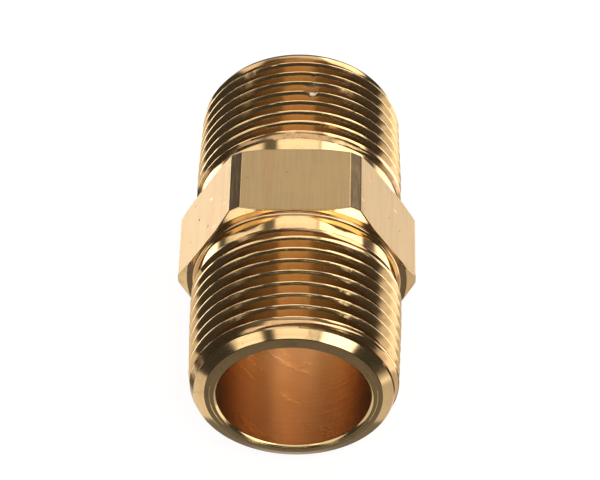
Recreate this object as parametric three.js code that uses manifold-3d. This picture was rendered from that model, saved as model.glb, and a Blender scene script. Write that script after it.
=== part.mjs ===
// A hex nipple for 3/4 inch pipe: one piece of brass hexagon bar, with a tapered pipe thread
// turned on each end and a straight bore through it. Millimetres, +Z up. The bore runs along Y,
// the hexagon lies on one of its flats, and the origin is the middle of the bore.

import * as THREE from 'three';
import { mergeVertices } from 'three/addons/utils/BufferGeometryUtils.js';
import Module from 'manifold-3d';

const wasm = await Module();
wasm.setup();

// ---------------------------------------------------------------------------
// Driving dimensions
// ---------------------------------------------------------------------------

const overallLength = 48.2;

// Bore, with its edges broken at both ends.
const boreDiameter = 19.05;
const boreChamfer = 0.3;

// Hexagon for the wrench. Its corners are turned down a little from sharp, and only the corners
// are chamfered: the round end face is wider than the flats are apart.
const acrossFlats = 26.99;
const hexLength = 11.1;
const cornerTurning = 0.86; // taken off the sharp across-corners size
const hexFaceShare = 0.94; // diameter of the round end face as a share of the size across corners
const hexChamferRise = 0.41; // run along Y for each millimetre outwards

// Plain neck between the hexagon and each thread, and the shoulder up to the thread.
const neckDiameter = 25.8;
const neckLength = 2.45;
const shoulderLength = 0.3;

// Taper pipe thread, 14 to the inch, right handed on both ends.
const threadPitch = 25.4 / 14;
const taper = 1 / 16; // diameter gained for each millimetre from the end
const endPitchDiameter = 24.58;
const flankAngle = THREE.MathUtils.degToRad(30); // each flank from square to the axis
const threadHeight = 0.76 * threadPitch;
const rootFlat = 0.08;
const blankDiameter = 26.67; // the pipe's outside diameter, which the crests never pass

// Where the first groove's middle crosses the top of the part, from each end face.
const frontGrooveAtTop = 0.97;
const backGrooveAtTop = 0.09;

// End of each thread: a flat ring, a shallow chamfer, and a slender lead cone up to the crests.
const chamferRimHeight = 0.74; // of the chamfer's outer rim above the thread's root
const endChamferLength = 0.62; // along Y
const endRingShare = 0.475; // of the wall from the bore's broken edge out to the rim
const leadRise = 0.55; // radius gained for each millimetre of the lead cone
const runOut = 0.4; // the groove's bottom starts to rise this far before the shoulder

// Mesh fineness: facets around the axis, and so groove steps in each turn.
const facetsAround = 36;

// ---------------------------------------------------------------------------
// Sizes that follow
// ---------------------------------------------------------------------------

const halfLength = overallLength / 2;
const halfHex = hexLength / 2;
const boreRadius = boreDiameter / 2;
const neckRadius = neckDiameter / 2;
const blankRadius = blankDiameter / 2;
const radiusGain = taper / 2;

const neckEnd = halfHex + neckLength; // |Y| where the shoulder starts
const threadEnd = neckEnd + shoulderLength; // |Y| where the thread stops
const threadLength = halfLength - threadEnd;

const endCrestRadius = endPitchDiameter / 2 + threadHeight / 2;
const endRootRadius = endPitchDiameter / 2 - threadHeight / 2;
const boreMouthRadius = boreRadius + boreChamfer;
const rimRadius = endRootRadius + chamferRimHeight;
const ringRadius = boreMouthRadius + endRingShare * (rimRadius - boreMouthRadius);
const leadEnd = endChamferLength + (endCrestRadius - rimRadius) / leadRise; // from the end face
const fullRadius = Math.min(endCrestRadius + radiusGain * threadLength, blankRadius);

// The groove's bottom sinks in from the chamfer's rim at 45 degrees, down to full depth here.
const leadIn = endChamferLength + chamferRimHeight;

// ---------------------------------------------------------------------------
// Helpers
// ---------------------------------------------------------------------------

// Turns a closed geometry into a solid. Facets with two corners in one place, such as those where
// a lathe meets its axis, are left out.
function toSolid(geometry) {
  geometry.deleteAttribute('normal');
  geometry.deleteAttribute('uv');
  const merged = mergeVertices(geometry, 1e-5);
  const corners = merged.index.array;
  const facets = [];
  for (let i = 0; i < corners.length; i += 3) {
    const [a, b, c] = [corners[i], corners[i + 1], corners[i + 2]];
    if (a !== b && b !== c && c !== a) {
      facets.push(a, b, c);
    }
  }
  return new wasm.Manifold(new wasm.Mesh({
    numProp: 3,
    vertProperties: merged.attributes.position.array,
    triVerts: new Uint32Array(facets),
  }));
}

function toGeometry(solid) {
  const mesh = solid.getMesh();
  const geometry = new THREE.BufferGeometry();
  geometry.setAttribute('position', new THREE.BufferAttribute(mesh.vertProperties, 3));
  geometry.setIndex(new THREE.BufferAttribute(mesh.triVerts, 1));
  geometry.computeVertexNormals();
  return geometry;
}

// Revolves half a profile about Y. Each point is [radius, distance from the middle], given from
// the outer end of the +Y half inwards, and the -Y half is its mirror image.
function turned(halfProfile) {
  const plusHalf = halfProfile.map(([radius, y]) => new THREE.Vector2(radius, y));
  const minusHalf = halfProfile.map(([radius, y]) => new THREE.Vector2(radius, -y));
  const profile = [...minusHalf, ...plusHalf.reverse()];
  return toSolid(new THREE.LatheGeometry(profile, facetsAround));
}

// ---------------------------------------------------------------------------
// Turned blank, hexagon and bore
// ---------------------------------------------------------------------------

function threadBlank() {
  const coneEnd = Math.min((blankRadius - endCrestRadius) / radiusGain, threadLength);
  return turned([
    [0, halfLength],
    [ringRadius, halfLength],
    [rimRadius, halfLength - endChamferLength],
    [endCrestRadius + radiusGain * leadEnd, halfLength - leadEnd],
    [fullRadius, halfLength - coneEnd],
    [fullRadius, threadEnd],
    [neckRadius, neckEnd],
    [neckRadius, 0],
  ]);
}

function hexagon() {
  const sharpCornerRadius = acrossFlats / Math.sqrt(3);
  const cornerRadius = sharpCornerRadius - cornerTurning / 2;
  const faceRadius = cornerRadius * hexFaceShare;
  const chamferLength = (cornerRadius - faceRadius) * hexChamferRise;

  const outline = new THREE.Shape();
  for (let corner = 0; corner < 6; corner += 1) {
    const angle = (corner * Math.PI) / 3;
    const [x, y] = [sharpCornerRadius * Math.cos(angle), sharpCornerRadius * Math.sin(angle)];
    if (corner === 0) {
      outline.moveTo(x, y);
    } else {
      outline.lineTo(x, y);
    }
  }
  outline.closePath();
  const bar = new THREE.ExtrudeGeometry(outline, { depth: hexLength, bevelEnabled: false });
  bar.rotateX(-Math.PI / 2);
  bar.translate(0, -halfHex, 0);

  const turning = turned([
    [0, halfHex],
    [faceRadius, halfHex],
    [cornerRadius, halfHex - chamferLength],
    [cornerRadius, 0],
  ]);
  return toSolid(bar).intersect(turning);
}

function boreCore() {
  const past = 1; // how far the core stands out of each end
  return turned([
    [0, halfLength + past],
    [boreMouthRadius + past, halfLength + past],
    [boreRadius, halfLength - boreChamfer],
    [boreRadius, 0],
  ]);
}

// ---------------------------------------------------------------------------
// Thread grooves
// ---------------------------------------------------------------------------

// The line that the bottom of the groove follows: a right-handed helix on a cone, which rises out
// of the metal at both ends. side is 1 for the thread towards +Y and -1 for the other.
class GroovePath extends THREE.Curve {
  constructor(side, grooveAtTop) {
    super();
    this.side = side;
    this.grooveAtTop = grooveAtTop;
    this.firstStep = this.stepAt(leadIn - threadHeight);
    this.steps = this.stepAt(threadLength + threadHeight - runOut) - this.firstStep;
  }

  // Steps are counted from the top of the part, so that they meet the facets of the blank.
  stepAt(distance) {
    return Math.round(((distance - this.grooveAtTop) / threadPitch) * facetsAround);
  }

  angleAt(t) {
    const step = this.firstStep + t * this.steps;
    return (-this.side * step * 2 * Math.PI) / facetsAround;
  }

  getPoint(t, target = new THREE.Vector3()) {
    const turns = (this.firstStep + t * this.steps) / facetsAround;
    const distance = this.grooveAtTop + threadPitch * turns;
    const leadInLift = Math.max(leadIn - distance, 0);
    const runOutLift = Math.max(distance - (threadLength - runOut), 0);
    const radius = endRootRadius + radiusGain * distance + leadInLift + runOutLift;
    const angle = this.angleAt(t);
    return target.set(
      radius * Math.sin(angle),
      this.side * (halfLength - distance),
      radius * Math.cos(angle),
    );
  }

  // Steps are even in angle, not in length.
  getPointAt(u, target) {
    return this.getPoint(u, target);
  }

  // The section's first axis always points away from the part's axis, so the groove never twists.
  computeFrenetFrames(segments) {
    const frames = { tangents: [], normals: [], binormals: [] };
    for (let i = 0; i <= segments; i += 1) {
      const angle = this.angleAt(i / segments);
      const outwards = new THREE.Vector3(Math.sin(angle), 0, Math.cos(angle));
      const towardsEnd = new THREE.Vector3(0, this.side, 0);
      frames.normals.push(outwards);
      frames.binormals.push(towardsEnd);
      frames.tangents.push(new THREE.Vector3().crossVectors(outwards, towardsEnd));
    }
    return frames;
  }
}

// The metal that the threading tool takes away: a V that opens outwards from a narrow flat.
function threadGroove(side, grooveAtTop) {
  const clearOfCrest = 0.04 * threadPitch;
  const height = threadHeight + clearOfCrest;
  const bottom = rootFlat / 2;
  const mouth = bottom + height * Math.tan(flankAngle);
  const section = new THREE.Shape([
    new THREE.Vector2(0, -bottom),
    new THREE.Vector2(height, -mouth),
    new THREE.Vector2(height, mouth),
    new THREE.Vector2(0, bottom),
  ]);
  const path = new GroovePath(side, grooveAtTop);
  return toSolid(new THREE.ExtrudeGeometry(section, { steps: path.steps, extrudePath: path }));
}

// ---------------------------------------------------------------------------
// The nipple
// ---------------------------------------------------------------------------

const body = threadBlank()
  .add(hexagon())
  .subtract(boreCore())
  .subtract(threadGroove(-1, frontGrooveAtTop))
  .subtract(threadGroove(1, backGrooveAtTop));

const brass = new THREE.MeshStandardMaterial({
  name: 'brass',
  color: new THREE.Color(0.78, 0.56, 0.26),
  metalness: 1,
  roughness: 0.28,
});

const nippleBody = new THREE.Mesh(toGeometry(body), brass);
nippleBody.name = 'nipple_body';

const nipple = new THREE.Group();
nipple.name = 'hex_nipple';
nipple.add(nippleBody);

export default nipple;
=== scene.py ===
"""A brass hex nipple for 3/4 inch pipe, on a pale floor in soft light.

The nipple is one piece of metal. Geometry Nodes winds its two threads and turns the rest of its
surface, and four finishes cover it: drawn flats, cut threads, turned faces and a drilled bore.
Lengths are metres. The bore runs along Y, the hexagon lies on a flat, and the origin is the middle
of the bore. Angles about the bore are counted from the top (+Z) towards +X.
"""

import math

import bpy
from mathutils import Matrix, Vector


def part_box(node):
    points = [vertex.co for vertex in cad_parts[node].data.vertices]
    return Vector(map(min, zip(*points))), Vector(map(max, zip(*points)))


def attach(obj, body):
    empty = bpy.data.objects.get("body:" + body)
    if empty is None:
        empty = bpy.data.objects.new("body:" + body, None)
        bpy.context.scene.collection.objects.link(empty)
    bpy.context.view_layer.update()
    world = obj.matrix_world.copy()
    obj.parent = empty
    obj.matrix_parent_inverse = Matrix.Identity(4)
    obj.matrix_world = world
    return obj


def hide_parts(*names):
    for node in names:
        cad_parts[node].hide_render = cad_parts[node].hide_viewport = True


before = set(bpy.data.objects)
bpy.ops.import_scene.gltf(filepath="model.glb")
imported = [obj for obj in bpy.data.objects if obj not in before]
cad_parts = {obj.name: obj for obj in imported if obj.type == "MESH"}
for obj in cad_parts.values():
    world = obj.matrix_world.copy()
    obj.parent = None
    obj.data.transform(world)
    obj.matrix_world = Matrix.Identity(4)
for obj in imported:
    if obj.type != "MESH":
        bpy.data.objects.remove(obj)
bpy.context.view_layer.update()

bl_info = {
    "name": "Hex Nipple",
    "version": (1, 0, 0),
    "blender": (4, 5, 0),
    "location": "3D View > Sidebar > Hex Nipple",
    "description": "Makes a threaded brass hex nipple and the stage that it lies on",
    "category": "Add Mesh",
}

MM = 0.001
BODY_LOW, BODY_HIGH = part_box("nipple_body")

# Columns of faces round the part. Each of the six sides has 36, bunched up at the hexagon's edges.
COLUMNS_PER_SIDE = 36
COLUMNS = 6 * COLUMNS_PER_SIDE
FLAT_STEPS = 15  # columns from the middle of a flat to its edge

# Points of the thread's cross-section, from the groove's middle to the middle of a crest.
SECTION_STEPS = 9

FLANK_ANGLE = math.radians(30)  # each flank of the thread, from square to the axis
LEAST_DEPTH = 0.06 * MM  # the groove's flanks are laid out as if it were at least this deep
EDGE_SPREAD = math.radians(0.28)  # two columns stand this far either side of a flat's long edge
LARGEST_SMOOTH_BEND = math.radians(32)  # sharper bends than this are shown as edges
WELD_DISTANCE = 0.002 * MM  # vertices closer than this are joined
CAMERA_SHIFT = (0.0042, 0.0184)  # of the view, as shares of the picture's width


# ---------------------------------------------------------------------------
# Sizes, finishes and stage
# ---------------------------------------------------------------------------

def length(name, description, millimetres):
    return bpy.props.FloatProperty(
        name=name, description=description, default=millimetres * MM,
        unit="LENGTH", subtype="DISTANCE", precision=5,
    )


def angle(name, description, degrees):
    return bpy.props.FloatProperty(
        name=name, description=description, default=math.radians(degrees), subtype="ANGLE",
    )


def share(name, description, default, highest=1.0):
    return bpy.props.FloatProperty(
        name=name, description=description, default=default, min=0.0, max=highest,
    )


def colour(name, description, default):
    return bpy.props.FloatVectorProperty(
        name=name, description=description, default=default, size=3, subtype="COLOR",
        min=0.0, max=1.0,
    )


class NippleSizes(bpy.types.PropertyGroup):
    """Sizes of the blank: the whole length, the hexagon, the necks, the bore and the end faces."""

    half_length: length("Half Length", "From the middle to an end face", BODY_HIGH[1] / MM)
    bore_radius: length("Bore Radius", "Radius of the bore", 9.525)
    bore_chamfer: length("Bore Chamfer", "Broken edge of the bore at both ends", 0.3)
    bore_drop: length("Bore Drop", "The bore was drilled this far below the axis", 0.45)
    flat_radius: length("Flat Radius", "From the axis to a flat", BODY_HIGH[2] / MM)
    corner_radius: length("Corner Radius", "From the axis to a corner", BODY_HIGH[0] / MM)
    half_hexagon: length("Half Hexagon", "Half the length of the hexagon", 5.2)
    face_radius: length("Face Radius", "Radius of the hexagon's round end faces", 14.0)
    chamfer_rise: share("Chamfer Rise", "Run of the corner chamfer for each unit outwards", 0.41)
    neck_radius: length("Neck Radius", "Radius of the plain necks", 12.9)
    neck_end: length("Neck End", "From the middle to the end of a neck", 7.75)
    rim_radius: length("Rim Radius", "Outer radius of the end chamfer", 12.3406)
    rim_depth: length("Rim Depth", "Length of the end chamfer", 0.62)
    ring_radius: length("Ring Radius", "Outer radius of the flat end ring", 11.02)
    tool_step_radius: length("Tool Step Radius", "Where the facing tool left a step", 10.4)
    tool_step: length("Tool Step", "Height of that step", 0.03)


class ThreadSizes(bpy.types.PropertyGroup):
    """Sizes of the two taper threads."""

    pitch: length("Pitch", "From crest to crest", 25.4 / 14)
    thread_length: length("Thread Length", "From an end face to the shoulder", 15.8)
    root_radius: length("Root Radius", "Radius of the groove's bottom at the end face", 11.6006)
    crest_radius: length("Crest Radius", "Radius of the crests at the end face", 12.979)
    blank_radius: length("Blank Radius", "Radius that the crests never pass", 13.335)
    radius_gain: share("Radius Gain", "Radius gained for each unit from the end", 1 / 32)
    root_flat: length("Root Flat", "Half the width of the groove's bottom", 0.04)
    crest_rounding: length("Crest Rounding", "Rounding of the crest's edges", 0.05)
    lead_in: length("Lead In", "Where the groove reaches its full depth", 1.62)
    lead_rise: share("Lead Rise", "Radius gained for each unit of the lead cone", 0.55)
    land_radius: length("Land Radius", "Radius of the low land where the thread starts", 12.85)
    land_end: length("Land End", "Where that land rises to the crests", 2.15)
    run_out: length("Run Out", "The groove starts to rise this far before the shoulder", 0.4)
    overrun: length("Overrun", "The threading tool stops this far past the shoulder", 0.85)
    front_groove: length("Front Groove", "First groove at the top, from the front end", 0.97)
    back_groove: length("Back Groove", "First groove at the top, from the back end", 0.09)
    wear: length("Crest Wear", "Depth of the small knocks along the crests", 0.035)
    knock_depth: length("Knock Depth", "Depth of the large knock on the back thread", 0.24)
    knock_distance: length("Knock Distance", "Large knock, from the back end", 7.55)
    knock_angle: angle("Knock Angle", "Large knock, from the top", 8.0)


class BrassFinish(bpy.types.PropertyGroup):
    """Colours and gloss of the metal."""

    brass: colour("Brass", "Clean brass", (0.90, 0.62, 0.30))
    old_brass: colour("Old Brass", "Brass that has dulled", (0.50, 0.34, 0.15))
    red_brass: colour("Red Brass", "Coppery tint of the cut metal", (0.88, 0.46, 0.23))
    bruise: colour("Bruise", "Bare metal where the thread was knocked", (1.0, 0.86, 0.66))
    # This dark colour serves real pits and specks, the darkening towards the thread's groove bottoms,
    # and painted shade on the hexagon's corner facets and on the bore's left and right sides.
    dirt_and_shade: colour("Dirt", "Cutting oil and dust left in grooves", (0.16, 0.11, 0.06))
    flat_brass: colour("Flat Brass", "Satin brass of the drawn flats", (0.56, 0.39, 0.195))
    bore_brass: colour("Bore Brass", "Brass of the drilled bore", (0.93, 0.67, 0.43))
    flat_roughness: share("Flat Roughness", "Roughness of the drawn flats", 0.4)
    thread_roughness: share("Thread Roughness", "Roughness of the cut threads", 0.06)
    turned_roughness: share("Turned Roughness", "Roughness of the turned faces", 0.06)
    bore_roughness: share("Bore Roughness", "Roughness of the drilled bore", 0.27)


class StageLook(bpy.types.PropertyGroup):
    """Floor, light and camera."""

    floor_colour: colour("Floor Colour", "Plain pale floor", (0.93, 0.93, 0.93))
    floor_glow: share("Floor Glow", "Light that the floor gives of its own", 0.95, 2.0)
    light: share("Light", "Strength of the studio light", 1.0, 10.0)
    camera_azimuth: angle("Camera Azimuth", "Turn of the camera round the part", -2.31)
    camera_elevation: angle("Camera Elevation", "Height of the camera above the floor", 48.15)
    camera_roll: angle("Camera Roll", "Tilt of the camera about its own line of sight", -1.5)
    camera_distance: length("Camera Distance", "From the middle of the part", 371.43)
    camera_lens: bpy.props.FloatProperty(
        name="Camera Lens", description="Focal length in millimetres", default=173.24, min=1.0,
    )


# ---------------------------------------------------------------------------
# Node trees written as Python expressions
# ---------------------------------------------------------------------------

class Value:
    """A number that flows out of a node's socket. Arithmetic on it adds Math nodes."""

    def __init__(self, graph, socket):
        self.graph = graph
        self.socket = socket

    def __add__(self, other):
        return self.graph.math("ADD", self, other)

    def __sub__(self, other):
        return self.graph.math("SUBTRACT", self, other)

    def __rsub__(self, other):
        return self.graph.math("SUBTRACT", other, self)

    def __mul__(self, other):
        return self.graph.math("MULTIPLY", self, other)

    def __truediv__(self, other):
        return self.graph.math("DIVIDE", self, other)

    def __rtruediv__(self, other):
        return self.graph.math("DIVIDE", other, self)

    def __mod__(self, other):
        return self.graph.math("FLOORED_MODULO", self, other)

    def __pow__(self, other):
        return self.graph.math("POWER", self, other)

    def __lt__(self, other):
        return self.graph.math("LESS_THAN", self, other)

    def __gt__(self, other):
        return self.graph.math("GREATER_THAN", self, other)

    def __neg__(self):
        return self.graph.math("MULTIPLY", self, -1.0)

    def __abs__(self):
        return self.graph.math("ABSOLUTE", self)

    __radd__ = __add__
    __rmul__ = __mul__


class Graph:
    """Adds nodes to one node tree, of geometry or of a shader."""

    def __init__(self, tree):
        self.tree = tree

    def node(self, kind, settings=None, inputs=None):
        """A new node. Its settings come first, then the value or link of each socket."""
        node = self.tree.nodes.new(kind)
        for name, setting in (settings or {}).items():
            if name == "items":
                while len(node.index_switch_items) < setting:
                    node.index_switch_items.new()
            else:
                setattr(node, name, setting)
        for key, value in (inputs or {}).items():
            if isinstance(value, Value):
                self.tree.links.new(value.socket, node.inputs[key])
            elif isinstance(value, bpy.types.NodeSocket):
                self.tree.links.new(value, node.inputs[key])
            else:
                node.inputs[key].default_value = value
        return node

    def value(self, kind, settings=None, inputs=None, output=0):
        return Value(self, self.node(kind, settings, inputs).outputs[output])

    def math(self, operation, *values):
        inputs = dict(enumerate(values))
        return self.value("ShaderNodeMath", {"operation": operation}, inputs)

    def least(self, first, *others):
        for other in others:
            first = self.math("MINIMUM", first, other)
        return first

    def most(self, first, *others):
        for other in others:
            first = self.math("MAXIMUM", first, other)
        return first

    def ease(self, value, start, end):
        """0 up to start, 1 from end on, with a smooth rise between."""
        return self.value(
            "ShaderNodeMapRange", {"interpolation_type": "SMOOTHSTEP"},
            {"Value": value, "From Min": start, "From Max": end},
        )

    def vector(self, x, y, z):
        return self.value("ShaderNodeCombineXYZ", None, {0: x, 1: y, 2: z})

    def axes(self, vector):
        node = self.node("ShaderNodeSeparateXYZ", None, {0: vector})
        return [Value(self, output) for output in node.outputs]

    def noise(self, vector, scale, detail=2.0, roughness=0.5):
        return self.value(
            "ShaderNodeTexNoise", {"noise_dimensions": "3D"},
            {"Vector": vector, "Scale": scale, "Detail": detail, "Roughness": roughness},
        )

    def mix(self, factor, first, second):
        """The first colour where the factor is 0, the second where it is 1."""
        return self.value(
            "ShaderNodeMix", {"data_type": "RGBA", "clamp_factor": True},
            {0: factor, 6: first, 7: second}, output=2,
        )


# ---------------------------------------------------------------------------
# Shape of the nipple
# ---------------------------------------------------------------------------

class BodyGraph(Graph):
    """The node tree that shapes the nipple. Its inputs are the sizes of the property groups."""

    def __init__(self, name, groups):
        super().__init__(bpy.data.node_groups.new(name, "GeometryNodeTree"))
        self.identifiers = {}
        for group in groups:
            for key, prop in group.bl_rna.properties.items():
                if prop.type == "FLOAT":
                    self.add_input(key, prop.name, getattr(group, key))
        interface = self.tree.interface
        interface.new_socket("Geometry", in_out="OUTPUT", socket_type="NodeSocketGeometry")
        group_input = self.node("NodeGroupInput")
        self.size = {
            key: Value(self, group_input.outputs[name])
            for key, (name, _) in self.identifiers.items()
        }

    def add_input(self, key, name, default):
        socket = self.tree.interface.new_socket(
            name, in_out="INPUT", socket_type="NodeSocketFloat",
        )
        socket.default_value = default
        self.identifiers[key] = (name, socket.identifier)

    def pick(self, index, values):
        """The value that stands at this index in the list."""
        inputs = {0: index}
        for place, value in enumerate(values):
            inputs[place + 1] = value
        settings = {"data_type": "FLOAT", "items": len(values)}
        return self.value("GeometryNodeIndexSwitch", settings, inputs)

    def column_angle(self, column):
        """Angle of a column of vertices. Columns lie closer together by a corner of the hexagon."""
        size = self.size
        side = self.math("FLOOR", (column + COLUMNS_PER_SIDE / 2) / COLUMNS_PER_SIDE)
        step = column - side * COLUMNS_PER_SIDE
        sixth = math.pi / 3
        edge = self.math("ARCCOSINE", size["flat_radius"] / size["corner_radius"])
        inner = edge - EDGE_SPREAD
        outer = edge + EDGE_SPREAD
        crowd = inner - EDGE_SPREAD * 2
        last = COLUMNS_PER_SIDE // 2
        values = [crowd * (place / (FLAT_STEPS - 1)) for place in range(FLAT_STEPS)]
        values += [inner, outer]
        while len(values) < last:
            values.append((outer + sixth / 2) * 0.5)
        values.append(sixth / 2)
        turn = self.pick(abs(step), values) * self.math("SIGN", step)
        return side * sixth + turn, turn, abs(step)

    def grid(self, columns, rows):
        """A sheet of vertices, with the column and the row of each as fields."""
        mesh = self.node("GeometryNodeMeshGrid", None, {"Vertices X": columns, "Vertices Y": rows})
        index = self.value("GeometryNodeInputIndex")
        column = self.math("FLOOR", (index + 0.5) / rows)
        row = index - column * rows
        return mesh.outputs["Mesh"], column, row

    def place(self, mesh, radius, turn, along, drop=0.0):
        """Sets each vertex by its radius, its angle about the bore and its place along it."""
        height = radius * self.math("COSINE", turn) - drop
        position = self.vector(radius * self.math("SINE", turn), along, height)
        inputs = {"Geometry": mesh, "Position": position}
        return self.node("GeometryNodeSetPosition", None, inputs).outputs[0]

    def mark(self, mesh, name, value):
        """Stores a number on each vertex, for the finishes to read."""
        return self.node(
            "GeometryNodeStoreNamedAttribute", {"data_type": "FLOAT", "domain": "POINT"},
            {"Geometry": mesh, "Name": name, "Value": value},
        ).outputs[0]


def wind_thread(g, front):
    """One thread, as a ribbon as wide as the pitch that winds along the part.

    The ribbon starts before the end chamfer's rim and ends past the shoulder, and what would lie
    beyond those two circles is pressed flat onto them.
    """
    size = g.size
    pitch = size["pitch"]
    first_groove = size["front_groove" if front else "back_groove"]
    rim_depth = size["rim_depth"]
    shoulder = size["thread_length"]
    stop = shoulder + size["overrun"]
    neck_start = size["half_length"] - size["neck_end"]
    turns = 1 + g.math("CEIL", (stop + pitch * 0.5 - first_groove) / pitch)
    rows = 2 * SECTION_STEPS + 1
    mesh, column, row = g.grid(turns * COLUMNS + 1, rows)

    whole_turns = g.math("FLOOR", (column + 0.5) / COLUMNS)
    turn, _, _ = g.column_angle(column - whole_turns * COLUMNS)
    groove = first_groove + pitch * (whole_turns - 1 + turn / (2 * math.pi))

    def blank_radius(distance):
        lead = size["rim_radius"] + (distance - rim_depth) * size["lead_rise"]
        land = size["land_radius"] + 0.08 * (distance - rim_depth)
        climb = land + 0.4 * (distance - size["land_end"])
        lead = g.least(lead, g.most(land, climb))
        cone = size["crest_radius"] + size["radius_gain"] * distance
        left = g.most(neck_start - distance, 0.0) / (neck_start - shoulder)
        step = size["neck_radius"] + left * (size["blank_radius"] - size["neck_radius"])
        return g.least(lead, cone, size["blank_radius"], step)

    rise = groove - (shoulder - size["run_out"])
    lift = g.most(size["lead_in"] - groove, 0.0) + g.most(rise, 0.0)
    bottom = size["root_radius"] + size["radius_gain"] * groove + lift
    depth = g.most(blank_radius(g.least(groove, shoulder)) - bottom, LEAST_DEPTH)
    flank_slope = math.tan(FLANK_ANGLE)
    crest_edge = size["root_flat"] + depth * flank_slope
    crest = pitch * 0.5 - crest_edge

    from_middle = row - SECTION_STEPS
    offset = g.pick(abs(from_middle), [
        0.0,
        size["root_flat"],
        crest_edge * 0.5,
        crest_edge - 0.06 * MM,
        crest_edge - 0.02 * MM,
        crest_edge + crest * 0.25,
        crest_edge + crest * 0.45,
        crest_edge + crest * 0.65,
        crest_edge + crest * 0.85,
        pitch * 0.5,
    ])
    distance = groove + offset * g.math("SIGN", from_middle)
    distance = g.least(g.most(distance, rim_depth), stop)
    blank = blank_radius(distance)
    wall = bottom + g.most(offset - size["root_flat"], 0.0) / flank_slope
    surface = g.math("SMOOTH_MIN", blank, wall, size["crest_rounding"])

    # Knocks and wear lower the crests. Each thread reads its own part of the noise.
    crest_height = g.ease(surface - bottom, 0.75 * MM, 1.3 * MM)
    spot = g.vector(
        size["crest_radius"] * g.math("SINE", turn), distance + 0.013 * (1 if front else -1),
        size["crest_radius"] * g.math("COSINE", turn),
    )
    fine = g.noise(spot, 2600.0, 3.0, 0.6)
    broad = g.noise(spot, 420.0, 2.0, 0.5)
    wear = g.ease(fine * 0.5 + broad * 0.5, 0.5, 0.66) * size["wear"]
    knock = 0.0
    if not front:
        # One large knock: an uneven oval that slants a little.
        swing = (turn + math.pi) % (2 * math.pi) - math.pi
        around = (-swing - size["knock_angle"]) * size["crest_radius"] / 1.7
        along = (distance - size["knock_distance"] + around * 0.25) / 1.9
        reach = (around * around + along * along) ** 0.5
        knock = 1.0 - g.ease(reach + (fine - 0.5) * 0.9 * MM, 0.35 * MM, 0.65 * MM)
    lowering = (wear + knock * size["knock_depth"]) * crest_height * (distance < shoulder * 0.985)
    cut = blank - surface + lowering
    cut = g.least(cut, (distance - rim_depth) * 2.0, (stop - distance) * 2.0)
    radius = blank - cut

    along = distance - size["half_length"]
    if not front:
        turn = -turn
        along = -along
    mesh = g.place(mesh, radius, turn, along)
    height = g.ease(radius - bottom, 0.0, 1.38 * MM)
    mesh = g.mark(mesh, "thread", 1.0)
    mesh = g.mark(mesh, "groove_height", height)
    mesh = g.mark(mesh, "knock", knock)
    return mesh


def turn_middle(g):
    """The hexagon and the two necks."""
    size = g.size
    stations = 21
    mesh, column, row = g.grid(COLUMNS + 1, 2 * stations - 1)
    turn, off_flat, step = g.column_angle(column % COLUMNS)

    side_radius = g.least(
        size["flat_radius"] / g.math("COSINE", off_flat), size["corner_radius"],
    )
    half = size["half_hexagon"]
    face = size["face_radius"]
    neck = size["neck_radius"]
    thread_start = size["half_length"] - size["thread_length"] - size["overrun"]
    rise = g.most(side_radius - face, 0.0) * size["chamfer_rise"]
    side_end = half - rise

    from_middle = row - (stations - 1)
    station = abs(from_middle)

    # Each side rolls over by about this much where it meets the end face or the corner chamfer.
    burr = 0.1 * MM
    burr_end = side_end + burr * size["chamfer_rise"]

    # The corner where the neck meets the end face is rounded out over these sizes.
    root_width = 0.42 * MM
    root_length = 0.55 * MM
    root_turns = [math.radians(degrees) for degrees in (0, 12, 26, 40, 54, 68, 80)]
    radius = g.pick(station, [
        side_radius,
        side_radius,
        side_radius,
        side_radius - burr * 0.3,
        side_radius - burr,
        side_radius - burr * 1.3,
        g.least(side_radius - burr * 1.6, face + 0.06 * MM),
        g.least(side_radius - burr * 1.9, face),
        g.least(side_radius - burr * 2.2, face - 0.06 * MM),
        neck + root_width + 0.05 * MM,
        *(neck + root_width * (1 - math.sin(turned)) for turned in root_turns),
        neck,
        neck,
        neck,
        neck,
    ])
    along = g.pick(station, [
        0.0,
        side_end - 0.20 * MM,
        side_end - 0.07 * MM,
        side_end - 0.01 * MM,
        g.least(burr_end, half),
        g.least(burr_end + 0.3 * burr * size["chamfer_rise"], half),
        g.least(half - 0.06 * MM * size["chamfer_rise"], half),
        half,
        half,
        half,
        *(half + root_length * (1 - math.cos(turned)) for turned in root_turns),
        half + root_length,
        half + root_length + 0.06 * MM,
        thread_start - 0.3 * MM,
        thread_start,
    ])
    mesh = g.place(mesh, radius, turn, along * g.math("SIGN", from_middle))
    on_side = station < 2.5
    mesh = g.mark(mesh, "flat", on_side * (step < FLAT_STEPS + 0.5))
    return g.mark(mesh, "corner", on_side * (step > FLAT_STEPS + 0.5))


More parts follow.
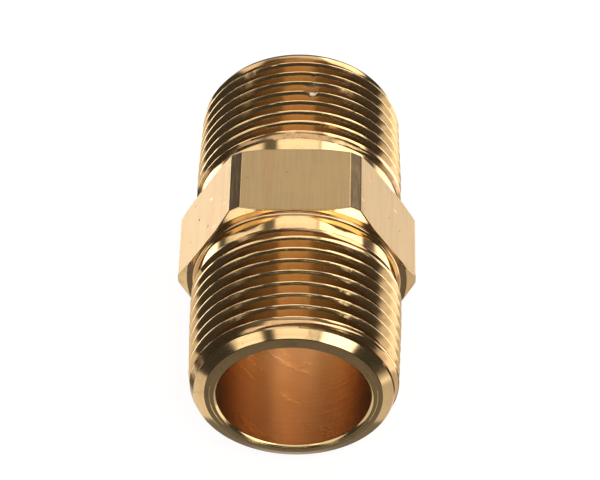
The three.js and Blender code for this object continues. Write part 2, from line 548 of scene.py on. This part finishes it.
def turn_inside(g):
    """The bore, its broken edges, the flat end rings and the end chamfers."""
    size = g.size
    stations = 19
    mesh, column, row = g.grid(COLUMNS + 1, 2 * stations - 1)
    turn, _, _ = g.column_angle(column % COLUMNS)

    end = size["half_length"]
    bore = size["bore_radius"]
    chamfer = size["bore_chamfer"]
    inner_face = end - size["tool_step"]
    mouth = bore + chamfer
    step_radius = size["tool_step_radius"]
    ring = size["ring_radius"]
    rim = size["rim_radius"]
    rim_depth = size["rim_depth"]

    from_middle = row - (stations - 1)
    station = abs(from_middle)
    radius = g.pick(station, [
        bore,
        bore,
        bore,
        bore,
        bore + 0.03 * MM,
        mouth - 0.03 * MM,
        mouth + 0.03 * MM,
        mouth + 0.09 * MM,
        step_radius - 0.08 * MM,
        step_radius - 0.02 * MM,
        step_radius + 0.02 * MM,
        step_radius + 0.08 * MM,
        ring - 0.10 * MM,
        ring - 0.04 * MM,
        ring + (rim - ring) * 0.03,
        ring + (rim - ring) * 0.08,
        rim - (rim - ring) * 0.08,
        rim - (rim - ring) * 0.03,
        rim,
    ])
    along = g.pick(station, [
        0.0,
        end * 0.5,
        end - chamfer - 0.12 * MM,
        end - chamfer - 0.04 * MM,
        end - chamfer + 0.02 * MM,
        inner_face - 0.03 * MM,
        inner_face,
        inner_face,
        inner_face,
        inner_face,
        end,
        end,
        end,
        end,
        end - rim_depth * 0.03,
        end - rim_depth * 0.08,
        end - rim_depth * 0.92,
        end - rim_depth * 0.97,
        end - rim_depth,
    ])

    # The bore and its broken edge sit below the axis, and the rings outside them don't.
    drop = size["bore_drop"] * (station < 7.5)
    mesh = g.place(mesh, radius, -turn, along * g.math("SIGN", from_middle), drop)
    return g.mark(mesh, "bore", station < 3.5)


def build_body_graph(groups, finishes):
    """The whole tree: two threads, the middle and the inside, joined into one skin.

    Where two turns of a ribbon meet near its ends, their edges don't always weld.
    """
    g = BodyGraph("Hex Nipple Body", groups)
    parts = [wind_thread(g, True), wind_thread(g, False), turn_middle(g), turn_inside(g)]
    join = g.node("GeometryNodeJoinGeometry")
    for part in parts:
        g.tree.links.new(part, join.inputs[0])
    welded = g.node(
        "GeometryNodeMergeByDistance", None, {"Geometry": join.outputs[0], "Distance": WELD_DISTANCE},
    )

    bend = g.value("GeometryNodeInputMeshEdgeAngle")
    smooth = g.node(
        "GeometryNodeSetShadeSmooth", {"domain": "EDGE"},
        {"Geometry": welded.outputs[0], "Shade Smooth": bend < LARGEST_SMOOTH_BEND},
    )
    shaded = g.node(
        "GeometryNodeSetShadeSmooth", {"domain": "FACE"},
        {"Geometry": smooth.outputs[0], "Shade Smooth": True},
    )
    mesh = g.node("GeometryNodeRealizeInstances", None, {0: shaded.outputs[0]}).outputs[0]
    for attribute, material in finishes:
        inputs = {"Geometry": mesh, "Material": material}
        if attribute:
            stored = g.value(
                "GeometryNodeInputNamedAttribute", {"data_type": "FLOAT"}, {"Name": attribute},
            )
            inputs["Selection"] = stored > 0.99
        mesh = g.node("GeometryNodeSetMaterial", None, inputs).outputs[0]
    g.node("NodeGroupOutput", None, {0: mesh})
    return g


# ---------------------------------------------------------------------------
# Finishes
# ---------------------------------------------------------------------------

class FinishGraph(Graph):
    """The shader of one finish, over the piece's own coordinates."""

    def __init__(self, name):
        self.material = bpy.data.materials.new(name)
        self.material.use_nodes = True
        super().__init__(self.material.node_tree)
        self.tree.nodes.clear()
        self.place = self.value("ShaderNodeTexCoord", output="Object")
        self.x, self.y, self.z = self.axes(self.place)
        self.radius = (self.x * self.x + self.z * self.z) ** 0.5

    def attribute(self, name):
        return self.value("ShaderNodeAttribute", {"attribute_name": name}, output="Fac")

    def around(self, spread):
        """Coordinates whose patterns run round the bore. A larger spread breaks them up sooner."""
        scale = spread / (self.radius + 1e-6) * MM
        return self.vector(self.x * scale, self.radius + self.y * 1.7, self.z * scale)

    def finish(self, colour_value, roughness, height, depth):
        """Closes the shader with a metal whose bump is this deep."""
        bump = self.node(
            "ShaderNodeBump", None, {"Strength": 1.0, "Distance": depth, "Height": height},
        )
        shader = self.node("ShaderNodeBsdfPrincipled", None, {
            "Base Color": colour_value, "Metallic": 1.0, "Roughness": roughness,
            "Normal": bump.outputs[0],
        })
        self.node("ShaderNodeOutputMaterial", None, {"Surface": shader.outputs[0]})
        return self.material


def rgba(colour_value, gain=1.0):
    return tuple(min(channel * gain, 1.0) for channel in colour_value) + (1.0,)


def turned_finish(look):
    """Turned faces: fine rings from the tool, a few deeper ones, and thin stains. The hexagon's
    corner facets share this finish and get painted shade that darkens them.
    """
    g = FinishGraph("turned_brass")
    rings = g.noise(g.around(0.5), 9000.0, 3.0, 0.6)
    bands = g.noise(g.around(0.2), 1500.0, 1.0, 0.5)
    stain = g.ease(g.noise(g.place, 320.0, 4.0, 0.6), 0.52, 0.7)
    pits = g.ease(g.noise(g.place, 2400.0, 2.0, 0.5), 0.7, 0.78)
    tone = g.mix(stain * 0.45, rgba(look.brass), rgba(look.old_brass, 1.2))
    tone = g.mix(g.ease(bands, 0.5, 0.75) * 0.35, tone, rgba(look.red_brass))
    tone = g.mix(pits * 0.6, tone, rgba(look.dirt_and_shade))
    # Painted shade: the hexagon's corner facets are mixed towards the dark colour, more or less along
    # lengthwise streaks, which also bump them; they are rougher too.
    corner = g.attribute("corner")
    scale = g.noise(g.vector(g.x, g.y * 0.1, g.z), 3600.0, 3.0, 0.6)
    tone = g.mix(corner * (0.78 + scale * 0.4), tone, rgba(look.dirt_and_shade, 0.8))
    roughness = look.turned_roughness + rings * 0.08 + stain * 0.06 + pits * 0.2 + corner * 0.24
    height = rings * 0.6 + bands * 0.4 - pits * 0.8 + corner * scale
    return g.finish(tone, roughness, height, 0.0012 * MM)


def thread_finish(look):
    """Cut threads: streaks along the cut, colour that turns duller and darker towards the groove
    bottoms and in blotches, pale worn crests.
    """
    g = FinishGraph("cut_thread_brass")
    height = g.attribute("groove_height")
    knock = g.attribute("knock")
    streaks = g.noise(g.around(0.9), 7000.0, 3.0, 0.6)
    broken = g.noise(g.place, 1100.0, 3.0, 0.65)
    blotch = g.noise(g.place, 260.0, 2.0, 0.5)
    crest = g.ease(height, 0.86, 0.98)
    root = 1.0 - g.ease(height, 0.0, 0.30)
    # Duller colour towards the groove bottoms and in random blotches, but not on the crests; it is
    # also rougher there.
    darkening = g.least(root * 0.6 + g.ease(blotch * 0.6 + broken * 0.4, 0.48, 0.66) * 0.55, 1.0)
    darkening = darkening * (1.0 - crest)
    tone = g.mix(g.ease(streaks, 0.45, 0.7) * 0.4, rgba(look.brass), rgba(look.red_brass))
    tone = g.mix(g.ease(height, 0.95, 0.4) * 0.4, tone, rgba(look.red_brass))
    tone = g.mix(darkening * 0.55, tone, rgba(look.old_brass))
    # Darker still towards the groove bottoms, in broken patches.
    tone = g.mix(root * 0.35 * g.ease(broken, 0.4, 0.7), tone, rgba(look.dirt_and_shade))
    tone = g.mix(crest * 0.8, tone, rgba(look.brass, 1.08))
    bare = knock * g.ease(height, 0.5, 0.8)
    tone = g.mix(bare * 0.9, tone, rgba(look.bruise))
    roughness = look.thread_roughness + streaks * 0.07 + darkening * 0.12 + crest * 0.05 + knock * 0.12
    bumps = streaks * 0.5 + broken * (0.25 + knock * 4.0) + g.ease(broken, 0.6, 0.75) * crest
    return g.finish(tone, roughness, bumps, 0.004 * MM)


def flat_finish(look):
    """Drawn flats: fine lines along the bar, a few scratches across, dark specks and dings."""
    g = FinishGraph("drawn_flat_brass")
    across = g.vector(g.x, g.y * 0.02, g.z)
    lines = g.noise(across, 5200.0, 4.0, 0.7)
    bands = g.noise(across, 700.0, 2.0, 0.5)
    grain = g.noise(g.place, 5200.0, 3.0, 0.6)
    cloud = g.noise(g.place, 180.0, 3.0, 0.55)
    specks = g.ease(g.noise(g.place, 1250.0, 1.0, 0.4), 0.755, 0.79)
    dings = g.ease(g.noise(g.vector(g.x * 0.5, g.y * 1.2, g.z * 0.5), 900.0, 2.0, 0.5), 0.70, 0.75)
    tone = g.mix(g.ease(lines, 0.35, 0.7) * 0.45, rgba(look.flat_brass), rgba(look.old_brass, 0.9))
    tone = g.mix(g.ease(cloud, 0.4, 0.65) * 0.3, tone, rgba(look.flat_brass, 1.15))
    tone = g.mix(g.ease(bands, 0.55, 0.70) * 0.4, tone, rgba(look.red_brass, 0.62))
    tone = g.mix(specks * 0.9, tone, rgba(look.dirt_and_shade))
    tone = g.mix(dings * 0.8, tone, rgba(look.brass, 1.1))
    roughness = look.flat_roughness + lines * 0.14 - 0.07 + cloud * 0.06 + specks * 0.3
    height = lines * 0.55 + bands * 0.25 + grain * 0.25 - specks * 1.5 - dings * 1.2
    return g.finish(tone, roughness, height, 0.0035 * MM)


def bore_finish(look):
    """Drilled bore: rings and slanting streaks left by the drill, deep warm colour, and painted shade
    that darkens its left and right sides.
    """
    g = FinishGraph("drilled_bore_brass")
    rings = g.noise(g.around(0.8), 1500.0, 3.0, 0.6)
    slant = g.vector(g.x * 0.12, g.y * 0.75 + g.x * 0.45, g.z * 0.12)
    streaks = g.noise(slant, 620.0, 3.0, 0.6)
    cloud = g.noise(g.place, 220.0, 2.0, 0.5)
    clean = g.ease(streaks, 0.55, 0.70)
    # Painted shade: the bore's colour darkens towards its left and right sides.
    painted_side_shade = g.ease(abs(g.x), 5.4 * MM, 8.6 * MM)
    tone = g.mix(g.ease(rings, 0.4, 0.7) * 0.35, rgba(look.bore_brass), rgba(look.red_brass, 1.1))
    tone = g.mix(g.ease(cloud, 0.42, 0.62) * 0.2, tone, rgba(look.old_brass, 1.7))
    tone = g.mix(clean * 0.5, tone, rgba(look.bore_brass, 1.1))
    tone = g.mix(painted_side_shade * 0.45, tone, rgba(look.dirt_and_shade, 1.8))
    roughness = look.bore_roughness + rings * 0.12 - clean * 0.12
    return g.finish(tone, roughness, rings * 1.3 + streaks * 1.2, 0.012 * MM)


# ---------------------------------------------------------------------------
# Stage
# ---------------------------------------------------------------------------

# Bright panels of the studio as seen from the part: azimuth and elevation of the middle, roll,
# width and height, softness of the edge (all in degrees), and strength. Azimuth 0 is the front
# (-Y) and 90 the right (+X).
PANELS = (
    ("back strip", 180, 44, 0, 35, 32, 3, 1.10),
    ("overhead", 180, 78, 0, 32, 32, 4, 0.32),
    ("front softbox", 0, 54, 0, 56, 44, 8, 0.80),
    ("back left window", -137, 20, 0, 14, 36, 3, 0.95),
    ("back right window", 141, 25, 0, 22, 36, 3, 2.20),
    ("left back table", -134, -24, 0, 50, 30, 9, 2.40),
    ("right back table", 135, -24, 0, 46, 30, 9, 1.90),
    ("back table", 180, -56, 0, 60, 40, 12, 0.70),
    ("left front table", -68, -38.5, -28, 32, 58, 1.5, 0.65),
    ("right front table", 68, -38.5, 28, 32, 58, 1.5, 0.45),
    ("right front lamp", 64, -30, 0, 36, 24, 4, 0.75),
    ("front left window", -45, 26, 0, 32, 36, 5, 0.90),
    ("front right window", 45, 26, 0, 32, 36, 5, 1.80),
    ("front strip left", -22, -7, 0, 13, 13, 2, 1.3),
    ("front strip middle", 0.9, 3, 0, 21.5, 10, 2, 1.25),
    ("front strip right", 20, -7, 0, 15, 13, 2, 2.9),
)


def direction(azimuth, elevation):
    """The direction that lies at this azimuth and elevation, in degrees."""
    turn = math.radians(azimuth)
    rise = math.radians(elevation)
    return Vector((
        math.sin(turn) * math.cos(rise), -math.cos(turn) * math.cos(rise), math.sin(rise),
    ))


def light_world(look):
    """Soft panels round the part, over a dim surround. The camera itself sees a plain backdrop."""
    world = bpy.data.worlds.new("studio")
    world.use_nodes = True
    bpy.context.scene.world = world
    g = Graph(world.node_tree)
    g.tree.nodes.clear()
    ray = g.value("ShaderNodeTexCoord", output="Generated")

    def along(axis):
        return g.value(
            "ShaderNodeVectorMath", {"operation": "DOT_PRODUCT"}, {0: ray, 1: axis},
            output="Value",
        )

    up = along(Vector((0.0, 0.0, 1.0)))
    back = along(Vector((0.0, 1.0, 0.0)))
    # The surround is dim, and a little brighter above, behind and below.
    light = 0.05 + g.ease(up, 0.5, 1.0) * 0.15 + g.ease(back, 0.2, 0.9) * 0.10
    light = light + g.ease(-up, 0.5, 0.9) * 0.14
    for _, azimuth, elevation, roll, width, height, soft, strength in PANELS:
        middle = direction(azimuth, elevation)
        turn = Matrix.Rotation(math.radians(-roll), 3, middle)
        right = turn @ direction(azimuth + 90, 0)
        top = turn @ direction(azimuth, elevation + 90)
        ahead = g.most(along(middle), 0.01)
        across = abs(along(right)) / ahead
        upwards = abs(along(top)) / ahead
        near = math.tan(math.radians(width / 2 - soft / 2))
        far = math.tan(math.radians(width / 2 + soft / 2))
        low = math.tan(math.radians(height / 2 - soft / 2))
        high = math.tan(math.radians(height / 2 + soft / 2))
        panel = (1.0 - g.ease(across, near, far)) * (1.0 - g.ease(upwards, low, high))
        light = light + panel * (along(middle) > 0.02) * strength
    seen = g.value("ShaderNodeLightPath", output="Is Camera Ray")
    studio = g.node("ShaderNodeBackground", None, {
        "Color": (1.0, 0.975, 0.94, 1.0), "Strength": light * look.light,
    })
    backdrop = g.node("ShaderNodeBackground", None, {
        "Color": rgba(look.floor_colour), "Strength": 1.0,
    })
    mixed = g.node("ShaderNodeMixShader", None, {
        0: seen, 1: studio.outputs[0], 2: backdrop.outputs[0],
    })
    g.node("ShaderNodeOutputWorld", None, {"Surface": mixed.outputs[0]})


def lay_floor(look):
    """A wide pale floor that the bottom flat rests on. The metal reflects the panels, not this."""
    height = BODY_LOW[2]
    reach = 3.0
    corners = [(-reach, -reach), (reach, -reach), (reach, reach), (-reach, reach)]
    mesh = bpy.data.meshes.new("floor")
    mesh.from_pydata([(x, y, height) for x, y in corners], [], [(0, 1, 2, 3)])
    floor = bpy.data.objects.new("floor", mesh)
    bpy.context.scene.collection.objects.link(floor)
    floor.visible_glossy = False

    material = bpy.data.materials.new("pale_floor")
    material.use_nodes = True
    g = Graph(material.node_tree)
    g.tree.nodes.clear()
    shader = g.node("ShaderNodeBsdfPrincipled", None, {
        "Base Color": rgba(look.floor_colour, 0.3), "Roughness": 0.9,
        "Emission Color": rgba(look.floor_colour), "Emission Strength": look.floor_glow,
    })
    g.node("ShaderNodeOutputMaterial", None, {"Surface": shader.outputs[0]})
    mesh.materials.append(material)


def set_camera(look):
    """The camera looks at the middle of the part, rolled a little about its line of sight."""
    azimuth = look.camera_azimuth
    elevation = look.camera_elevation
    towards = Vector((
        -math.sin(azimuth) * math.cos(elevation),
        -math.cos(azimuth) * math.cos(elevation),
        math.sin(elevation),
    ))
    level = Vector((0.0, 0.0, 1.0)).cross(towards).normalized()
    rise = towards.cross(level)
    roll = look.camera_roll
    right = level * math.cos(roll) + rise * math.sin(roll)
    top = rise * math.cos(roll) - level * math.sin(roll)

    camera = bpy.data.cameras.new("camera")
    camera.lens = look.camera_lens
    camera.sensor_width = 36.0
    camera.clip_start = 0.01
    camera.shift_x, camera.shift_y = CAMERA_SHIFT
    holder = bpy.data.objects.new("camera", camera)
    bpy.context.scene.collection.objects.link(holder)
    pose = Matrix((right, top, towards)).transposed().to_4x4()
    pose.translation = towards * look.camera_distance
    holder.matrix_world = pose
    bpy.context.scene.camera = holder


# ---------------------------------------------------------------------------
# Operators, panel and registration
# ---------------------------------------------------------------------------

class OBJECT_OT_make_hex_nipple(bpy.types.Operator):
    """Make the brass nipple: hexagon, necks, threads, end faces and bore, in one piece"""

    bl_idname = "object.make_hex_nipple"
    bl_label = "Hex Nipple"

    def execute(self, context):
        scene = context.scene
        look = scene.brass_finish
        finishes = [
            (None, turned_finish(look)),
            ("thread", thread_finish(look)),
            ("flat", flat_finish(look)),
            ("bore", bore_finish(look)),
        ]
        groups = [scene.nipple_sizes, scene.thread_sizes]
        g = build_body_graph(groups, finishes)

        seed = bpy.data.meshes.new("nipple_seed")
        maker = bpy.data.objects.new("nipple_maker", seed)
        scene.collection.objects.link(maker)
        modifier = maker.modifiers.new("Body", "NODES")
        modifier.node_group = g.tree
        for group in groups:
            for key in group.bl_rna.properties.keys():
                if key in g.identifiers:
                    modifier[g.identifiers[key][1]] = getattr(group, key)

        depsgraph = context.evaluated_depsgraph_get()
        mesh = bpy.data.meshes.new_from_object(maker.evaluated_get(depsgraph))
        if not mesh.polygons:
            raise RuntimeError("The nipple came out empty")
        mesh.name = "nipple"
        bpy.data.objects.remove(maker)
        nipple = bpy.data.objects.new("nipple", mesh)
        scene.collection.objects.link(nipple)
        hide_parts("nipple_body")
        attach(nipple, "root")
        return {"FINISHED"}


class SCENE_OT_set_nipple_stage(bpy.types.Operator):
    """Lay the pale floor and set up the soft light and the camera"""

    bl_idname = "scene.set_nipple_stage"
    bl_label = "Stage"

    def execute(self, context):
        look = context.scene.stage_look
        context.scene.view_settings.view_transform = "Standard"
        light_world(look)
        lay_floor(look)
        set_camera(look)
        return {"FINISHED"}


class VIEW3D_PT_hex_nipple(bpy.types.Panel):
    """Sidebar panel that makes each piece"""

    bl_label = "Hex Nipple"
    bl_space_type = "VIEW_3D"
    bl_region_type = "UI"
    bl_category = "Hex Nipple"

    def draw(self, context):
        for operator in OPERATORS:
            self.layout.operator(operator.bl_idname)
        for group_name in GROUPS:
            group = getattr(context.scene, group_name)
            box = self.layout.box()
            for key in group.bl_rna.properties.keys():
                if key not in ("rna_type", "name"):
                    box.prop(group, key)


OPERATORS = (OBJECT_OT_make_hex_nipple, SCENE_OT_set_nipple_stage)
GROUPS = {
    "nipple_sizes": NippleSizes,
    "thread_sizes": ThreadSizes,
    "brass_finish": BrassFinish,
    "stage_look": StageLook,
}


def register():
    for group in GROUPS.values():
        bpy.utils.register_class(group)
    for operator in OPERATORS:
        bpy.utils.register_class(operator)
    bpy.utils.register_class(VIEW3D_PT_hex_nipple)
    for name, group in GROUPS.items():
        setattr(bpy.types.Scene, name, bpy.props.PointerProperty(type=group))


def unregister():
    for name in GROUPS:
        delattr(bpy.types.Scene, name)
    bpy.utils.unregister_class(VIEW3D_PT_hex_nipple)
    for operator in OPERATORS:
        bpy.utils.unregister_class(operator)
    for group in GROUPS.values():
        bpy.utils.unregister_class(group)


def main():
    register()
    bpy.ops.object.make_hex_nipple()
    bpy.ops.scene.set_nipple_stage()


if __name__ == "__main__":
    main()
